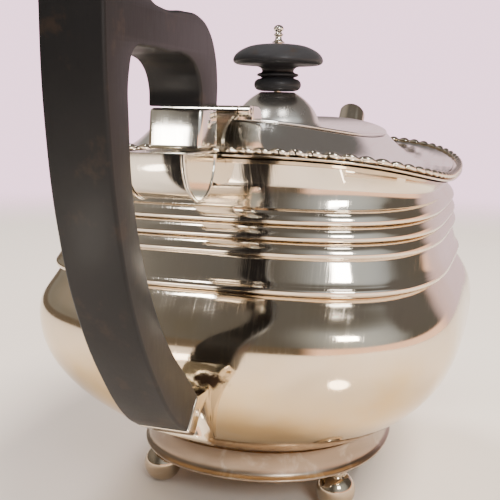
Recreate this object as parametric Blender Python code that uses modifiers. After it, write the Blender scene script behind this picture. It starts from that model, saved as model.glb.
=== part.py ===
"""Silver teapot on four ball feet, with an ebonised wooden handle and knob.

The pot is built up the way a silversmith builds it: a raised bowl on an oval foot ring,
a reeded girdle, a gadroon border, a concave shoulder and a hinged lid.
Units are metres, +Z is up, -X is the handle end and +X is the spout end.
The origin is on the table, under the middle of the body.
"""
import math

import bmesh
import bpy
from mathutils import Matrix, Vector

MM = 0.001

# ---- driving dimensions -------------------------------------------------------------
PLAN_STEPS = 40                 # points round every oblong outline
GAP = 0.3 * MM                  # play left between neighbouring pieces
WALL = 0.9 * MM                 # thickness of the silver sheet

BOWL_LENGTH = 137.0 * MM        # widest belly of the bowl, handle to spout
BOWL_WIDTH = 119.0 * MM
LIP_LENGTH = 127.6 * MM         # widest line of the girdle
LIP_WIDTH = 110.0 * MM
LIP_Z = 69.8 * MM               # underside of the girdle's lip
REED_BASE_Z = 79.1 * MM
REED_PITCH = 3.85 * MM
REED_COUNT = 3
REED_STEPS = 4
RIM_Z = 94.5 * MM               # underside of the border in the middle of a side
END_RISE = 7.8 * MM             # how much higher the rim is at the two ends
RISE_POWER = 2.5                # how sharply it sweeps up there

LID_LENGTH = 101.2 * MM
LID_WIDTH = 64.0 * MM
LID_SHAPE = 2.4                 # exponent of the lid's outline, 2 is an ellipse
LID_Z = 105.8 * MM              # underside of the lid plate in the middle of a side
LID_SHEET = 0.8 * MM
BODY_SHAPE = 3.6                # exponent of the body's outline
FOOT_SHAPE = 2.2

FOOT_LENGTH = 87.6 * MM
FOOT_WIDTH = 76.2 * MM
FOOT_Z = 12.2 * MM              # underside of the foot ring
FOOT_TOP_Z = 21.2 * MM
BALL_RADIUS = 5.64 * MM
BALL_FLAT = 1.3 * MM            # radius of the small flat each ball stands on
BALL_X = 24.4 * MM
BALL_Y = 27.1 * MM

KNOB_BASE_Z = 118.5 * MM
KNOB_RADIUS = 13.5 * MM
BOLT_RADIUS = 1.1 * MM

HANDLE_WIDTH = 12.4 * MM        # of the wood, across the pot
HANDLE_CURVE_STEPS = 5
SOCKET_OUTER_X = -79.5 * MM     # upper socket, face away from the pot
SOCKET_INNER_X = -68.8 * MM
SOCKET_TOP_Z = 113.0 * MM
SOCKET_BASE_Z = 104.2 * MM
SOCKET_WALL = 0.9 * MM
BRACKET_X = -80.8 * MM          # centre of the half-round bracket
BRACKET_Z = 103.9 * MM
BRACKET_DEPTH = 10.3 * MM
BRACKET_REACH = 9.2 * MM
BRACKET_HALF = 6.0 * MM
CAP_THICKNESS = 0.7 * MM
CAP_FLANGE = 0.5 * MM
PIN_RADIUS = 0.9 * MM
UPPER_PIN = (-74.0 * MM, 109.6 * MM)
LOWER_PIN = (-79.6 * MM, 45.4 * MM)

HINGE_X = -60.0 * MM
HINGE_Z = 112.5 * MM
KNUCKLE_RADIUS = 1.3 * MM
HINGE_PIN_RADIUS = 0.55 * MM
MIDDLE_KNUCKLE = 8.1 * MM       # half the length of the fixed knuckle
HINGE_HALF = 11.1 * MM

LID_PIECES = ("lid_plate", "lid_bezel", "lid_dome", "knob", "finial_bolt",
              "knob_washer", "knob_nut", "hinge_leaf_lid")

SPOUT_WALL = 1.0 * MM
SPOUT_STEPS = 16                # points round the spout
STRAINER_HOLE = 1.5 * MM
STRAINER_PITCH = 4.6 * MM

FINISHES = {
    "silver": ((0.86, 0.83, 0.77, 1.0), 0.16, 1.0),
    "silver_dull": ((0.70, 0.67, 0.61, 1.0), 0.30, 1.0),
    "ebonised_wood": ((0.030, 0.026, 0.025, 1.0), 0.42, 0.0),
}


# ---- scene and objects --------------------------------------------------------------
def clear_scene():
    for item in list(bpy.data.objects):
        bpy.data.objects.remove(item, do_unlink=True)


def new_collection(name):
    collection = bpy.data.collections.new(name)
    bpy.context.scene.collection.children.link(collection)
    return collection


clear_scene()
PARTS = new_collection("silver_teapot")
CUTTERS = new_collection("cutters")


def finish_material(name, finish):
    colour, roughness, metallic = FINISHES[finish]
    material = bpy.data.materials.new(name + "_" + finish)
    material.use_nodes = True
    shader = material.node_tree.nodes["Principled BSDF"]
    shader.inputs["Base Color"].default_value = colour
    shader.inputs["Roughness"].default_value = roughness
    shader.inputs["Metallic"].default_value = metallic
    material.diffuse_color = colour
    return material


def add_part(name, mesh, finish, smooth=True):
    """Put a mesh into the scene as one named piece of the teapot."""
    item = bpy.data.objects.new(name, mesh)
    PARTS.objects.link(item)
    mesh.materials.clear()
    mesh.materials.append(finish_material(name, finish))
    if smooth:
        mesh.shade_smooth()
        mesh.set_sharp_from_angle(angle=math.radians(35.0))
    return item


def add_cutter(name, mesh):
    item = bpy.data.objects.new(name, mesh)
    CUTTERS.objects.link(item)
    item.hide_render = True
    item.display_type = "WIRE"
    return item


def mesh_from_bmesh(name, bm):
    bmesh.ops.recalc_face_normals(bm, faces=bm.faces)
    mesh = bpy.data.meshes.new(name)
    bm.to_mesh(mesh)
    bm.free()
    return mesh


def boolean(item, other, operation="DIFFERENCE"):
    modifier = item.modifiers.new(operation.lower() + "_" + other.name, "BOOLEAN")
    modifier.operation = operation
    modifier.object = other
    modifier.solver = "EXACT"


# ---- oblong outlines and lofts ------------------------------------------------------
def level(length, width, shape, z, rise=0.0):
    """One outline of the pot: half sizes, exponent, height in mid-side, and rise at the ends."""
    return (length / 2, width / 2, shape, z, rise)


def grown(section, margin):
    half_length, half_width, shape, z, rise = section
    return (half_length + margin, half_width + margin, shape, z, rise)


def raised(section, height):
    half_length, half_width, shape, z, rise = section
    return (half_length, half_width, shape, z + height, rise)


def outline_points(section):
    """Points of a superellipse whose height sweeps up towards both ends."""
    half_length, half_width, shape, z, rise = section
    points = []
    for index in range(PLAN_STEPS):
        angle = 2 * math.pi * index / PLAN_STEPS
        along = math.cos(angle)
        across = math.sin(angle)
        reach = (abs(along / half_length) ** shape + abs(across / half_width) ** shape) ** (-1 / shape)
        x = reach * along
        lift = rise * abs(2 * x / LIP_LENGTH) ** RISE_POWER
        points.append(Vector((x, reach * across, z + lift)))
    return points


def bridge(bm, lower, upper):
    count = len(lower)
    for index in range(count):
        following = (index + 1) % count
        bm.faces.new((lower[index], lower[following], upper[following], upper[index]))


def loft_mesh(name, sections, closed):
    """Skin a row of outlines; a closed row makes a ring, an open one gets flat ends."""
    bm = bmesh.new()
    rings = []
    for section in sections:
        rings.append([bm.verts.new(point) for point in outline_points(section)])
    for lower, upper in zip(rings, rings[1:]):
        bridge(bm, lower, upper)
    if closed:
        bridge(bm, rings[-1], rings[0])
    else:
        bm.faces.new(rings[0])
        bm.faces.new(rings[-1])
    return mesh_from_bmesh(name, bm)


def bowl_levels():
    """Outer outlines of the bowl, from its flat bottom up to the girdle."""
    heights = (
        # share of the full length, of the full width, exponent, height
        (0.560, 0.545, 2.2, 20.4 * MM),
        (0.625, 0.613, 2.2, 21.5 * MM),
        (0.712, 0.702, 2.35, 24.5 * MM),
        (0.828, 0.818, 2.6, 30.5 * MM),
        (0.918, 0.912, 2.9, 37.5 * MM),
        (0.978, 0.975, 3.2, 45.5 * MM),
        (1.000, 1.000, 3.4, 53.5 * MM),
        (0.985, 0.984, 3.6, 61.0 * MM),
        (0.932, 0.924, 3.6, 67.3 * MM),
        (0.908, 0.898, 3.6, LIP_Z - GAP),
    )
    return [level(BOWL_LENGTH * a, BOWL_WIDTH * b, n, z) for a, b, n, z in heights]


def lip_level(inset, z, rise=0.0):
    return level(LIP_LENGTH - 2 * inset, LIP_WIDTH - 2 * inset, BODY_SHAPE, z, rise)


def girdle_levels():
    """Outer outlines of the girdle: rolled lip, sloping band, three reeds and neck."""
    levels = [
        lip_level(1.6 * MM, LIP_Z),
        lip_level(0.3 * MM, LIP_Z + 0.5 * MM),
        lip_level(0.0, LIP_Z + 1.4 * MM),
        lip_level(0.5 * MM, LIP_Z + 2.3 * MM),
        lip_level(2.9 * MM, REED_BASE_Z - 0.4 * MM),
    ]
    reed_bulge = 1.3 * MM
    for reed in range(REED_COUNT):
        base = REED_BASE_Z + reed * REED_PITCH
        inset = 2.7 * MM + reed * 0.45 * MM
        for step in range(REED_STEPS):
            turn = math.pi * (step + 0.5) / REED_STEPS
            height = base + REED_PITCH * (0.5 - 0.46 * math.cos(turn))
            levels.append(lip_level(inset - reed_bulge * math.sin(turn), height))
    neck_z = REED_BASE_Z + REED_COUNT * REED_PITCH
    levels.append(lip_level(4.2 * MM, neck_z + 0.2 * MM, 0.2 * END_RISE))
    levels.append(lip_level(3.6 * MM, (neck_z + RIM_Z) / 2, 0.6 * END_RISE))
    levels.append(lip_level(1.7 * MM, RIM_Z - GAP, END_RISE))
    return levels


def girdle_lining():
    """Inner outlines of the girdle, from the rim down to the lip."""
    return [
        lip_level(1.7 * MM + WALL, RIM_Z - GAP, END_RISE),
        lip_level(4.2 * MM + WALL, RIM_Z - 2.6 * MM, 0.5 * END_RISE),
        lip_level(4.2 * MM + WALL, REED_BASE_Z),
        lip_level(2.9 * MM + WALL, LIP_Z),
    ]


def pot_volume(name, margin):
    """The whole body as one solid, a little larger than the real one; used as a cutter."""
    sections = [grown(section, margin) for section in bowl_levels() + girdle_levels()]
    sections[0] = raised(sections[0], -margin)
    sections.append(raised(sections[-1], 8.0 * MM))
    return add_cutter(name, loft_mesh(name, sections, closed=False))


# ---- turned pieces ------------------------------------------------------------------
def turned_part(name, profile, finish, steps, closed):
    """A profile of (radius, height) pairs, outer side first and downwards, spun round Z."""
    mesh = bpy.data.meshes.new(name)
    points = [(radius, 0.0, height) for radius, height in profile]
    edges = [(index, index + 1) for index in range(len(points) - 1)]
    if closed:
        edges.append((len(points) - 1, 0))
    mesh.from_pydata(points, edges, [])
    item = add_part(name, mesh, finish, smooth=False)
    screw = item.modifiers.new("turn", "SCREW")
    screw.steps = steps
    screw.render_steps = steps
    screw.use_merge_vertices = True
    screw.merge_threshold = 0.00001
    screw.use_smooth_shade = True
    screw.use_normal_calculate = False
    return item


def arc_profile(centre_radius, centre_z, radius, start, end, steps):
    """Points of an arc in the profile plane; angles in degrees, 0 outwards, 90 up."""
    points = []
    for index in range(steps + 1):
        angle = math.radians(start + (end - start) * index / steps)
        points.append((centre_radius + radius * math.cos(angle), centre_z + radius * math.sin(angle)))
    return points


# ---- straight and flat pieces -------------------------------------------------------
def cylinder_mesh(name, centre, radius, half_length, axis, sides):
    bm = bmesh.new()
    bmesh.ops.create_cone(bm, cap_ends=True, segments=sides, radius1=radius,
                          radius2=radius, depth=2 * half_length)
    turns = {"X": Matrix.Rotation(math.pi / 2, 4, "Y"),
             "Y": Matrix.Rotation(math.pi / 2, 4, "X"),
             "Z": Matrix.Identity(4)}
    bmesh.ops.transform(bm, matrix=Matrix.Translation(centre) @ turns[axis], verts=bm.verts)
    return mesh_from_bmesh(name, bm)


def box_mesh(name, low, high):
    bm = bmesh.new()
    bmesh.ops.create_cube(bm, size=1.0)
    low = Vector(low)
    high = Vector(high)
    size = Matrix.Diagonal((*(high - low), 1.0))
    bmesh.ops.transform(bm, matrix=Matrix.Translation((low + high) / 2) @ size, verts=bm.verts)
    return mesh_from_bmesh(name, bm)


def side_profile_mesh(name, points, half_width, smooth_points=False, resolution=1):
    """A flat outline in the XZ plane, thickened to both sides across the pot."""
    curve = bpy.data.curves.new(name, "CURVE")
    curve.dimensions = "2D"
    curve.fill_mode = "BOTH"
    curve.extrude = half_width
    curve.resolution_u = resolution
    curve.render_resolution_u = 0
    spline = curve.splines.new("BEZIER")
    spline.bezier_points.add(len(points) - 1)
    for knot, (x, z, corner) in zip(spline.bezier_points, points):
        knot.co = (x, z, 0.0)
        bend = "AUTO" if smooth_points and not corner else "VECTOR"
        knot.handle_left_type = bend
        knot.handle_right_type = bend
    spline.use_cyclic_u = True
    holder = bpy.data.objects.new(name + "_curve", curve)
    CUTTERS.objects.link(holder)
    holder.rotation_euler.x = math.pi / 2
    bpy.context.view_layer.update()
    evaluated = holder.evaluated_get(bpy.context.evaluated_depsgraph_get())
    mesh = bpy.data.meshes.new_from_object(evaluated)
    mesh.transform(holder.matrix_world)
    bpy.data.objects.remove(holder, do_unlink=True)
    bm = bmesh.new()
    bm.from_mesh(mesh)
    bmesh.ops.remove_doubles(bm, verts=bm.verts, dist=0.000001)
    bpy.data.meshes.remove(mesh)
    return mesh_from_bmesh(name, bm)


def wedge_mesh(name, near, far):
    """A tapered block between two upright edges in the XZ plane; each end is (x, z, half width)."""
    bm = bmesh.new()
    rings = []
    for low, high in (near, far):
        ring = []
        for (x, z, half), side in ((low, -1), (low, 1), (high, 1), (high, -1)):
            ring.append(bm.verts.new((x * MM, side * half * MM, z * MM)))
        rings.append(ring)
    bridge(bm, *rings)
    bm.faces.new(rings[0])
    bm.faces.new(rings[1])
    return mesh_from_bmesh(name, bm)


def sharp(pairs):
    return [(x * MM, z * MM, True) for x, z in pairs]


# ---- body ---------------------------------------------------------------------------
def make_bowl():
    outer = bowl_levels()
    inner = [grown(section, -WALL) for section in outer]
    inner[0] = raised(grown(inner[0], -WALL), WALL)
    inner[1] = raised(inner[1], WALL)
    inner[2] = raised(inner[2], WALL / 2)
    mesh = loft_mesh("bowl", outer + inner[::-1], closed=False)
    bowl = add_part("bowl", mesh, "silver")
    boolean(bowl, strainer_cutter())
    return bowl


def strainer_cutter():
    """Thirteen small holes through the bowl's wall, behind the spout."""
    bm = bmesh.new()
    for row, count in ((-2, 1), (-1, 4), (0, 3), (1, 4), (2, 1)):
        for place in range(count):
            y = (place - (count - 1) / 2) * STRAINER_PITCH
            z = 47.0 * MM + row * STRAINER_PITCH * 0.87
            mesh = cylinder_mesh("hole", (66.0 * MM, y, z), STRAINER_HOLE, 6.0 * MM, "X", 8)
            bm.from_mesh(mesh)
            bpy.data.meshes.remove(mesh)
    return add_cutter("strainer_holes", mesh_from_bmesh("strainer_holes", bm))


def make_girdle():
    mesh = loft_mesh("reeded_girdle", girdle_levels() + girdle_lining(), closed=True)
    return add_part("reeded_girdle", mesh, "silver")


def border_level(outset, height):
    return lip_level(0.7 * MM - outset, RIM_Z + height, END_RISE)


def make_border():
    """The gadroon border: a thin plain moulding with a half-round bead on top of it."""
    sections = [
        border_level(-2.4 * MM, 0.0),
        border_level(0.0, 0.0),
        border_level(0.5 * MM, 0.4 * MM),
        border_level(0.1 * MM, 0.8 * MM),
        border_level(0.6 * MM, 1.6 * MM),
        border_level(-0.2 * MM, 2.5 * MM),
        border_level(-1.5 * MM, 2.6 * MM),
        border_level(-2.4 * MM, 1.7 * MM),
    ]
    return add_part("gadroon_border", loft_mesh("gadroon_border", sections, closed=True), "silver")


def shoulder_levels():
    """Upper surface of the shoulder, from the border up to the lid's seam."""
    foot = lip_level(3.5 * MM, RIM_Z + 1.6 * MM, END_RISE)
    seam = level(LID_LENGTH + 0.6 * MM, LID_WIDTH + 0.6 * MM, LID_SHAPE, LID_Z - GAP, END_RISE)
    levels = []
    # share of the way in from border to seam, and share of the height gained
    for inwards, upwards in ((0.0, 0.0), (0.22, 0.03), (0.46, 0.14), (0.68, 0.36), (0.86, 0.66), (1.0, 1.0)):
        mixed = []
        for index, share in enumerate((inwards, inwards, inwards, upwards, upwards)):
            mixed.append(foot[index] + (seam[index] - foot[index]) * share)
        levels.append(tuple(mixed))
    return levels


def make_shoulder():
    top = shoulder_levels()
    lip = grown(top[-1], -2.4 * MM)
    lip_under = raised(lip, -WALL)
    under = [raised(grown(section, -0.4 * MM), -WALL) for section in top[::-1]]
    mesh = loft_mesh("shoulder_collar", top + [lip, lip_under] + under, closed=True)
    return add_part("shoulder_collar", mesh, "silver")


def make_foot_ring():
    def foot_level(inset, z):
        return level(FOOT_LENGTH - 2 * inset, FOOT_WIDTH - 2 * inset, FOOT_SHAPE, z)
    sections = [
        foot_level(7.6 * MM, FOOT_Z),
        foot_level(0.2 * MM, FOOT_Z),
        foot_level(0.0, FOOT_Z + 0.9 * MM),
        foot_level(1.1 * MM, FOOT_Z + 1.5 * MM),
        foot_level(1.9 * MM, FOOT_Z + 4.2 * MM),
        foot_level(1.9 * MM, FOOT_Z + 6.6 * MM),
        foot_level(1.3 * MM, FOOT_TOP_Z - GAP),
        foot_level(3.2 * MM, FOOT_TOP_Z - GAP - 0.8 * MM),
        foot_level(2.9 * MM, FOOT_Z + 1.2 * MM),
        foot_level(7.6 * MM, FOOT_Z + 1.0 * MM),
    ]
    return add_part("foot_ring", loft_mesh("foot_ring", sections, closed=True), "silver")


def make_ball_feet():
    """Four balls, each with a small flat to stand on and a solder neck to the foot ring."""
    centre_z = math.sqrt(BALL_RADIUS ** 2 - BALL_FLAT ** 2)
    flat_angle = math.degrees(math.asin(BALL_FLAT / BALL_RADIUS))
    neck = 2.6 * MM
    neck_angle = math.degrees(math.acos(neck / BALL_RADIUS))
    profile = [(0.0, FOOT_Z - GAP), (neck, FOOT_Z - GAP)]
    profile += arc_profile(0.0, centre_z, BALL_RADIUS, neck_angle, -90.0 + flat_angle, 8)
    profile.append((0.0, 0.0))
    corners = (("handle_left", -1, 1), ("handle_right", -1, -1), ("spout_left", 1, 1), ("spout_right", 1, -1))
    for label, side_x, side_y in corners:
        foot = turned_part("ball_foot_" + label, profile, "silver", 16, closed=False)
        foot.location = (side_x * BALL_X, side_y * BALL_Y, 0.0)


# ---- lid ----------------------------------------------------------------------------
def make_lid_plate():
    plate = level(LID_LENGTH, LID_WIDTH, LID_SHAPE, LID_Z, END_RISE)
    hub = (8.0 * MM, 8.0 * MM, 2.0, LID_Z, END_RISE)
    sections = []
    for share in (0.0, 0.30, 0.62, 0.86, 1.0):
        sections.append(tuple(hub[i] + (plate[i] - hub[i]) * share for i in range(5)))
    top = [raised(section, LID_SHEET) for section in sections]
    lid = add_part("lid_plate", loft_mesh("lid_plate", sections + top[::-1], closed=True), "silver")
    vent = cylinder_mesh("vent", (27.0 * MM, 0.0, LID_Z), 1.0 * MM, 3.0 * MM, "Z", 12)
    boolean(lid, add_cutter("vent", vent))


def make_lid_bezel():
    """Upright flange under the lid that keeps it in place in the opening."""
    ring = level(LID_LENGTH - 5.4 * MM, LID_WIDTH - 5.4 * MM, LID_SHAPE, LID_Z - GAP, END_RISE)
    sections = [
        grown(ring, -WALL),
        ring,
        raised(grown(ring, -0.3 * MM), -4.6 * MM),
        raised(grown(ring, -0.3 * MM - WALL), -4.6 * MM),
    ]
    add_part("lid_bezel", loft_mesh("lid_bezel", sections, closed=True), "silver_dull")


def make_dome():
    """Bell-shaped dome under the knob, a thin shell with a hole for the bolt."""
    profile = [(1.6, 118.2), (5.1, 118.2), (6.4, 117.5), (8.6, 115.9), (10.8, 113.6), (12.3, 111.0),
               (13.1, 109.0), (14.4, 107.8), (15.6, 107.2), (14.4, 107.2), (12.6, 107.6), (11.9, 109.0),
               (11.2, 110.8), (9.9, 113.1), (7.9, 115.1), (5.9, 116.6), (4.9, 117.3), (1.6, 117.3)]
    turned_part("lid_dome", [(r * MM, z * MM) for r, z in profile], "silver", 32, closed=True)


def make_knob():
    """Turned wooden knob: flat mushroom cap, thin neck, small ring and a fat base ring."""
    bore = BOLT_RADIUS + GAP
    profile = [(bore, 132.5 * MM), (4.0 * MM, 132.4 * MM), (8.5 * MM, 131.3 * MM), (11.8 * MM, 129.5 * MM),
               (13.3 * MM, 127.9 * MM), (KNOB_RADIUS, 127.1 * MM), (12.9 * MM, 126.6 * MM),
               (8.0 * MM, 126.2 * MM), (5.3 * MM, 125.8 * MM), (4.7 * MM, 124.7 * MM), (5.1 * MM, 124.0 * MM),
               (6.2 * MM, 123.6 * MM), (6.2 * MM, 123.0 * MM), (5.6 * MM, 122.4 * MM)]
    profile += arc_profile(5.5 * MM, 120.4 * MM, 1.6 * MM, 75.0, -75.0, 5)
    profile.append((4.9 * MM, KNOB_BASE_Z))
    profile.append((bore, KNOB_BASE_Z))
    turned_part("knob", profile, "ebonised_wood", 28, closed=True)


def make_finial_bolt():
    """Silver finial above the knob, in one piece with the rod that holds the knob down."""
    profile = [(0.0, 138.0)]
    profile += [(1.0, 137.75), (1.45, 136.9), (1.0, 136.0), (0.95, 135.7), (1.35, 135.3), (1.35, 134.9)]
    profile += [(0.95, 134.5), (1.1, 133.6), (1.85, 133.1), (1.85, 132.8), (1.1, 132.8)]
    profile += [(1.1, 111.6), (0.0, 111.6)]
    turned_part("finial_bolt", [(r * MM, z * MM) for r, z in profile], "silver", 16, closed=False)


def make_washer_and_nut():
    bore = BOLT_RADIUS + GAP
    washer = [(bore, 117.0 * MM), (4.2 * MM, 117.0 * MM), (4.2 * MM, 116.3 * MM), (bore, 116.3 * MM)]
    turned_part("knob_washer", washer, "silver_dull", 20, closed=True)
    nut_bore = bore / math.cos(math.pi / 6)
    nut = [(nut_bore, 116.0 * MM), (3.2 * MM, 116.0 * MM), (3.2 * MM, 113.6 * MM), (nut_bore, 113.6 * MM)]
    turned_part("knob_nut", nut, "silver_dull", 6, closed=True)


# ---- lid hinge ----------------------------------------------------------------------
def knuckle_mesh(name, start_y, end_y, radius=KNUCKLE_RADIUS, sides=16):
    centre = (HINGE_X, (start_y + end_y) / 2, HINGE_Z)
    return cylinder_mesh(name, centre, radius, (end_y - start_y) / 2, "Y", sides)


def hinge_bore():
    radius = HINGE_PIN_RADIUS + 0.25 * MM
    return add_cutter("hinge_bore", knuckle_mesh("hinge_bore", -15.0 * MM, 15.0 * MM, radius, 12))


def make_hinge(bore):
    """Fixed leaf on the shoulder, lid leaf with the two outer knuckles, and the pin."""
    outer_side = ((-61.1, 104.9, 4.2), (-61.1, 112.3, 8.0))
    inner_side = ((-58.7, 104.5, 4.2), (-59.4, 112.3, 8.0))
    fixed = add_part("hinge_leaf_body", wedge_mesh("hinge_leaf_body", outer_side, inner_side), "silver")
    barrel = knuckle_mesh("middle_knuckle", -MIDDLE_KNUCKLE, MIDDLE_KNUCKLE)
    boolean(fixed, add_cutter("middle_knuckle", barrel), "UNION")
    boolean(fixed, bore)

    strap = sharp([(-58.2, 113.7), (-53.6, 113.6), (-51.6, 112.7),
                   (-50.9, 111.4), (-50.9, 110.4), (-58.2, 110.4)])
    moving = add_part("hinge_leaf_lid", side_profile_mesh("hinge_leaf_lid", strap, HINGE_HALF), "silver")
    inner_end = MIDDLE_KNUCKLE + GAP
    for label, side in (("left", 1), ("right", -1)):
        ends = sorted((side * inner_end, side * HINGE_HALF))
        barrel = add_cutter("outer_knuckle_" + label, knuckle_mesh("outer_knuckle_" + label, *ends))
        boolean(moving, barrel, "UNION")
        low = (HINGE_X, ends[0] + 0.05 * MM, HINGE_Z - 1.0 * MM)
        high = (-57.6 * MM, ends[1] - 0.05 * MM, HINGE_Z + 1.0 * MM)
        link = add_cutter("knuckle_link_" + label, box_mesh("knuckle_link_" + label, low, high))
        boolean(moving, link, "UNION")
    boolean(moving, bore)
    pin = knuckle_mesh("hinge_pin", -11.4 * MM, 11.4 * MM, HINGE_PIN_RADIUS, 12)
    add_part("hinge_pin", pin, "silver_dull")


# ---- handle and its sockets ---------------------------------------------------------
def handle_outline():
    """Side outline of the wood, clockwise from the upper socket; True marks a corner."""
    pairs = [
        (-69.2, 113.3, True), (-68.8, 119.0, False), (-70.2, 124.8, False), (-73.8, 129.4, False),
        (-79.5, 131.8, False), (-88.0, 132.0, False), (-98.0, 131.4, False), (-104.5, 132.8, False),
        (-109.5, 137.6, False), (-114.5, 142.6, False), (-119.2, 142.2, False), (-121.6, 137.0, False),
        (-122.0, 128.0, False), (-121.0, 110.0, False), (-117.6, 91.5, False), (-111.5, 74.5, False),
        (-101.2, 57.8, False), (-91.5, 47.0, False), (-86.0, 43.3, True), (-79.9, 49.7, True),
        (-86.0, 56.0, False), (-93.4, 63.0, False), (-101.2, 72.9, False), (-107.6, 85.2, False),
        (-111.6, 98.0, False), (-112.9, 110.0, False), (-112.8, 118.6, False), (-110.6, 122.9, False),
        (-105.5, 123.6, False), (-96.0, 123.4, False), (-87.5, 123.3, False), (-81.8, 121.2, False),
        (-79.2, 117.4, False), (-78.9, 113.3, True),
    ]
    return [(x * MM, z * MM, corner) for x, z, corner in pairs]


def make_handle(upper_bore, lower_bore):
    wood = side_profile_mesh("handle", handle_outline(), HANDLE_WIDTH / 2,
                             smooth_points=True, resolution=HANDLE_CURVE_STEPS)
    handle = add_part("handle", wood, "ebonised_wood")
    tenon_half = HANDLE_WIDTH / 2 - SOCKET_WALL - 0.1 * MM
    low = (SOCKET_OUTER_X + SOCKET_WALL + GAP, -tenon_half, SOCKET_BASE_Z + 1.6 * MM)
    high = (SOCKET_INNER_X - SOCKET_WALL - GAP, tenon_half, SOCKET_TOP_Z + 2.0 * MM)
    boolean(handle, add_cutter("upper_tenon", box_mesh("upper_tenon", low, high)), "UNION")
    lower = sharp([(-84.9, 45.6), (-81.5, 48.8), (-75.6, 43.3), (-78.9, 40.0)])
    lower_tenon = side_profile_mesh("lower_tenon", lower, 4.9 * MM)
    boolean(handle, add_cutter("lower_tenon", lower_tenon), "UNION")
    boolean(handle, upper_bore)
    boolean(handle, lower_bore)


def make_upper_socket(bore):
    half = HANDLE_WIDTH / 2
    low = (SOCKET_OUTER_X, -half, SOCKET_BASE_Z)
    high = (SOCKET_INNER_X, half, SOCKET_TOP_Z)
    mesh = box_mesh("upper_socket", low, high)
    socket = add_part("upper_socket", mesh, "silver", smooth=False)
    low = (SOCKET_OUTER_X + SOCKET_WALL, -half + SOCKET_WALL - 0.2 * MM, SOCKET_BASE_Z + SOCKET_WALL)
    high = (SOCKET_INNER_X - SOCKET_WALL, half - SOCKET_WALL + 0.2 * MM, SOCKET_TOP_Z + 1.0 * MM)
    boolean(socket, add_cutter("upper_cavity", box_mesh("upper_cavity", low, high)))
    boolean(socket, bore)


def make_bracket(pot):
    """Half-round bracket that carries the upper socket, with a root against the neck."""
    def half_round(margin, top, sides=12):
        rim = []
        for index in range(sides + 1):
            angle = math.pi + math.pi * index / sides
            x = BRACKET_X + (BRACKET_REACH + margin) * math.cos(angle)
            rim.append((x, BRACKET_Z + top + (BRACKET_DEPTH + margin) * math.sin(angle), True))
        return rim
    shell = side_profile_mesh("handle_bracket", half_round(0.0, 0.0), BRACKET_HALF)
    bracket = add_part("handle_bracket", shell, "silver")
    hollow = side_profile_mesh("bracket_hollow", half_round(-2 * WALL, -WALL), BRACKET_HALF + 1.0 * MM)
    root = sharp([(-72.4, 103.7), (-67.5, 101.8), (-58.0, 101.8),
                  (-58.0, 95.4), (-66.0, 95.4), (-74.4, 97.4)])
    root_mesh = side_profile_mesh("bracket_root", root, BRACKET_HALF - 0.6 * MM)
    boolean(bracket, add_cutter("bracket_root", root_mesh), "UNION")
    boolean(bracket, add_cutter("bracket_hollow", hollow))
    boolean(bracket, pot)
    for label, side in (("left", 1), ("right", -1)):
        cap = side_profile_mesh("bracket_cap_" + label, half_round(CAP_FLANGE, 0.0), CAP_THICKNESS / 2)
        cap.transform(Matrix.Translation((0.0, side * (BRACKET_HALF + GAP + CAP_THICKNESS / 2), 0.0)))
        add_part("bracket_cap_" + label, cap, "silver")


def make_lower_socket(pot, bore):
    joint = ((-85.6, 42.9, 6.2), (-79.5, 49.3, 6.2))
    end = ((-54.0, 26.4, 0.9), (-60.0, 45.6, 2.8))
    mesh = wedge_mesh("lower_socket", joint, end)
    socket = add_part("lower_socket", mesh, "silver", smooth=False)
    hole = sharp([(-85.6, 45.7), (-81.6, 49.7), (-74.9, 43.4), (-78.9, 39.4)])
    boolean(socket, add_cutter("lower_cavity", side_profile_mesh("lower_cavity", hole, 5.2 * MM)))
    boolean(socket, pot)
    boolean(socket, bore)


def pin_bore(name, place):
    x, z = place
    return add_cutter(name, cylinder_mesh(name, (x, 0.0, z), PIN_RADIUS + 0.25 * MM, 12.0 * MM, "Y", 12))


def make_handle_pins():
    for label, (x, z) in (("upper", UPPER_PIN), ("lower", LOWER_PIN)):
        half = HANDLE_WIDTH / 2 + 0.3 * MM
        pin = cylinder_mesh("handle_pin_" + label, (x, 0.0, z), PIN_RADIUS, half, "Y", 12)
        add_part("handle_pin_" + label, pin, "silver")


# ---- spout --------------------------------------------------------------------------
def spout_sections():
    """Centre, lean from the vertical in degrees, half depth and half width, root to tip."""
    rows = (
        (58.0, 44.0, 78.0, 20.0, 14.6),
        (68.0, 45.8, 78.0, 18.0, 13.4),
        (77.5, 49.0, 66.0, 14.6, 11.6),
        (86.0, 54.6, 50.0, 12.0, 10.2),
        (92.8, 62.5, 34.0, 10.2, 9.2),
        (97.8, 72.0, 25.0, 8.9, 8.4),
        (102.0, 82.0, 22.0, 7.9, 7.6),
        (106.2, 91.2, 24.0, 7.0, 6.8),
        (111.0, 100.4, 28.0, 6.2, 6.1),
        (115.2, 107.0, 34.0, 5.7, 5.6),
        (118.4, 111.2, 54.0, 6.1, 5.5),
    )
    return [(x * MM, z * MM, math.radians(lean), d * MM, w * MM) for x, z, lean, d, w in rows]


def spout_ring(bm, section, inset):
    x, z, lean, half_depth, half_width = section
    forward = Vector((math.cos(lean), 0.0, -math.sin(lean)))
    ring = []
    for index in range(SPOUT_STEPS):
        angle = 2 * math.pi * index / SPOUT_STEPS
        offset = forward * ((half_depth - inset) * math.cos(angle))
        offset.y = (half_width - inset) * math.sin(angle)
        ring.append(bm.verts.new(Vector((x, 0.0, z)) + offset))
    return ring


def make_spout(pot):
    bm = bmesh.new()
    sections = spout_sections()
    rings = [spout_ring(bm, section, 0.0) for section in sections]
    rings += [spout_ring(bm, section, SPOUT_WALL) for section in sections[::-1]]
    for index, ring in enumerate(rings):
        bridge(bm, ring, rings[(index + 1) % len(rings)])
    spout = add_part("spout", mesh_from_bmesh("spout", bm), "silver")
    boolean(spout, pot)


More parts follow.
